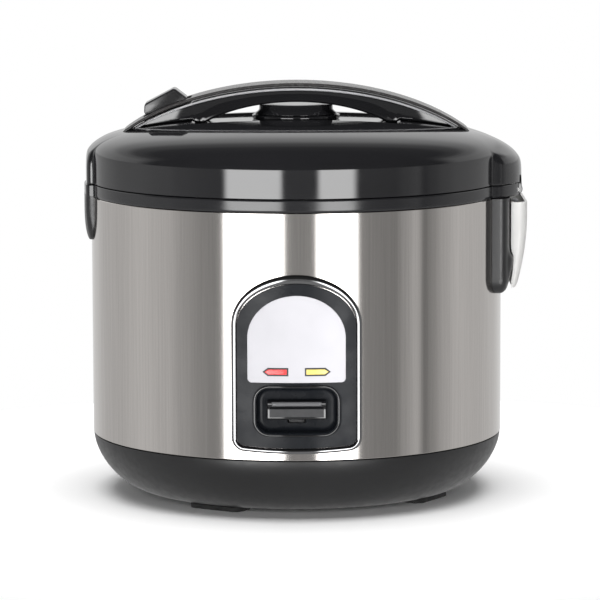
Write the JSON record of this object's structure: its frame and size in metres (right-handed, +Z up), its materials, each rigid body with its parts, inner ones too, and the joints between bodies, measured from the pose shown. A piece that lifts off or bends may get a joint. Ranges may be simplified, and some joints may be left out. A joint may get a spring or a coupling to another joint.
{
  "type": "rice cooker",
  "caption": "Round countertop rice cooker with a hinged domed lid, carrying handle, front lever switch panel and side dew collector.",
  "frame": {"origin": "centre of the footprint box, on the surface that the feet stand on", "axes": "+Z up, control panel towards -Y, lid hinge and dew collector at +X, latch at -X"},
  "size_m": [0.2818, 0.2668, 0.262],
  "materials": {
    "base_grey": "dark grey satin moulding",
    "rubber": "matt black rubber",
    "screw_steel": "plated steel",
    "spring_steel": "drawn spring wire",
    "brushed_shell": "stainless steel brushed upright",
    "ring_black": "satin to gloss black moulding",
    "housing_black": "satin to gloss black moulding",
    "clear_plastic": "clear moulded plastic",
    "clip_grey": "grey moulding",
    "liner_metal": "galvanised sheet",
    "pot_metal": "coated aluminium",
    "cast_plate": "cast and turned aluminium",
    "element_steel": "dull heater sheath",
    "sensor_metal": "pressed aluminium",
    "fuse_plastic": "pale insulating plastic",
    "lever_gloss": "gloss black moulding",
    "switch_black": "black switch body",
    "chrome_trim": "bright chrome plating",
    "panel_gloss": "gloss black moulding",
    "label_silver": "pale silver film",
    "red_lamp": "translucent red lens",
    "yellow_lamp": "translucent yellow lens",
    "board_green": "green circuit board",
    "inlet_black": "black insulating moulding",
    "pin_brass": "plated brass",
    "lid_gloss": "gloss black moulding",
    "lid_liner_black": "black moulding",
    "inner_lid_metal": "anodised aluminium",
    "silicone": "pale silicone",
    "vent_gloss": "gloss black moulding",
    "grip_gloss": "gloss black moulding",
    "cover_satin": "satin grey-black moulding",
    "hook_black": "black acetal"
  },
  "bodies": {
    "cooker_body": {"base_cover": "base_grey", "foot_1": "rubber", "foot_2": "rubber", "foot_3": "rubber", "foot_4": "rubber", "base_screw_1": "screw_steel", "base_screw_2": "screw_steel", "base_screw_3": "screw_steel", "outer_shell": "brushed_shell", "upper_ring": "ring_black", "hinge_pin": "screw_steel", "hinge_spring": "spring_steel", "hinge_housing": "housing_black", "collector_clip": "clip_grey", "inner_liner": "liner_metal", "inner_pot": "pot_metal", "heating_plate": "cast_plate", "heating_element": "element_steel", "warming_band": "liner_metal", "sensor_sleeve": "sensor_metal", "sensor_spring": "spring_steel", "thermal_fuse": "fuse_plastic", "lever_pin": "screw_steel", "lever_bracket": "screw_steel", "lever_spring": "spring_steel", "microswitch": "switch_black", "terminal_block": "fuse_plastic", "control_bezel": "chrome_trim", "panel_plate": "panel_gloss", "label_plate": "label_silver", "red_lens": "red_lamp", "yellow_lens": "yellow_lamp", "lamp_board": "board_green", "power_inlet": "inlet_black", "inlet_pin_1": "pin_brass", "inlet_pin_2": "pin_brass", "inlet_pin_3": "pin_brass"},
    "lid": {"lid_cover": "lid_gloss", "lid_liner": "lid_liner_black", "inner_lid": "inner_lid_metal", "lid_plug": "silicone", "lid_gasket": "silicone", "steam_vent_base": "vent_gloss", "steam_vent_cap": "vent_gloss", "handle_grip": "grip_gloss", "handle_cover": "cover_satin", "latch_pin": "screw_steel", "latch_spring": "spring_steel", "handle_screw_1": "screw_steel", "handle_screw_2": "screw_steel", "handle_screw_3": "screw_steel", "handle_screw_4": "screw_steel"},
    "release_button": {"release_button": "cover_satin"},
    "latch_hook": {"latch_hook": "hook_black"},
    "cook_lever": {"cook_lever": "lever_gloss"},
    "magnet_plunger": {"magnet_plunger": "screw_steel"},
    "sensor_cap": {"sensor_cap": "sensor_metal", "sensor_magnet": "screw_steel"},
    "dew_collector": {"dew_collector": "clear_plastic"}
  },
  "joints": [
    {"name": "lid_hinge", "type": "hinge", "parent": "cooker_body", "child": "lid", "pos_m": [0.1346, 0, 0.194], "axis": [0, 1, 0], "range_deg": [0, 85]},
    {"name": "release_press", "type": "slide", "parent": "lid", "child": "release_button", "axis": [0.342, 0, -0.9397], "range_m": [0, 0.004], "stiffness_N_per_m": 400, "springref_m": -0.001},
    {"name": "latch_turn", "type": "hinge", "parent": "lid", "child": "latch_hook", "pos_m": [-0.1294, 0, 0.212], "axis": [0, 1, 0], "range_deg": [0, 5.5]},
    {"name": "lever_press", "type": "hinge", "parent": "cooker_body", "child": "cook_lever", "pos_m": [-0.0054, -0.045, 0.026], "axis": [1, 0, 0], "range_deg": [0, 3.3], "stiffness_Nm_per_rad": 2, "springref_deg": -5.73, "deforming": ["lever_spring"]},
    {"name": "magnet_rise", "type": "slide", "parent": "cooker_body", "child": "magnet_plunger", "axis": [0, 0, 1], "range_m": [0, 0.0028]},
    {"name": "sensor_travel", "type": "slide", "parent": "cooker_body", "child": "sensor_cap", "axis": [0, 0, 1], "range_m": [-0.002, 0], "stiffness_N_per_m": 800, "springref_m": 0.003, "deforming": ["sensor_spring"]},
    {"name": "collector_pull", "type": "slide", "parent": "cooker_body", "child": "dew_collector", "axis": [1, 0, 0], "range_m": [0, 0.02]}
  ],
  "couplings": [
    {"joint": "latch_turn", "follows": "release_press", "rad_per_m": 22.5},
    {"joint": "magnet_rise", "follows": "lever_press", "m_per_rad": 0.0455}
  ]
}
